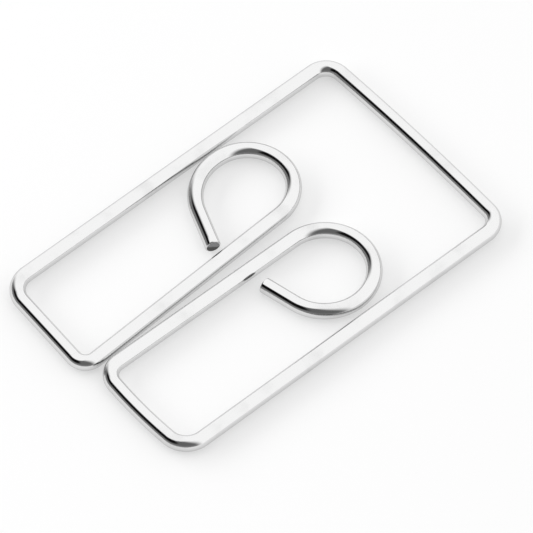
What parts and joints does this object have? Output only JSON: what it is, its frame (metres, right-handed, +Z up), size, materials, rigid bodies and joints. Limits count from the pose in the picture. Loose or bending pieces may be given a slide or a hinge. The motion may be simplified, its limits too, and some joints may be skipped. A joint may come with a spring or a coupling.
{
  "type": "paper clip",
  "caption": "Flat wire paper clip: round bent wire forms a rectangular frame whose springy inner arms curl into open eyes and press paper against the frame.",
  "frame": {"origin": "middle of the clip's outline, on the surface it lies on, under the wire's underside", "axes": "+Y along the rails from the feet and heels towards the back bar, +X to the right seen from the front, +Z up out of the clip's plane"},
  "size_m": [0.0204, 0.0326, 0.0012],
  "materials": {
    "plated_wire": "polished nickel plating on drawn spring wire"
  },
  "bodies": {
    "frame": {"back_bar": "plated_wire", "left_back_corner": "plated_wire", "left_rail": "plated_wire", "left_front_corner": "plated_wire", "left_foot": "plated_wire", "right_back_corner": "plated_wire", "right_rail": "plated_wire", "right_front_corner": "plated_wire", "right_foot": "plated_wire"},
    "left_tongue": {"left_heel": "plated_wire", "left_arm": "plated_wire", "left_eye": "plated_wire", "left_curl": "plated_wire", "left_tail": "plated_wire"},
    "right_tongue": {"right_heel": "plated_wire", "right_arm": "plated_wire", "right_eye": "plated_wire", "right_curl": "plated_wire", "right_tail": "plated_wire"}
  },
  "joints": [
    {"name": "left_tongue_lift", "type": "hinge", "parent": "frame", "child": "left_tongue", "pos_m": [-0.00175, -0.01569, 0.0006], "axis": [0.9983, -0.0576, 0], "range_deg": [-12, 12], "stiffness_Nm_per_rad": 0.45},
    {"name": "right_tongue_lift", "type": "hinge", "parent": "frame", "child": "right_tongue", "pos_m": [0.00192, -0.01497, 0.0006], "axis": [0.9964, -0.0845, 0], "range_deg": [-12, 12], "stiffness_Nm_per_rad": 0.45}
  ]
}
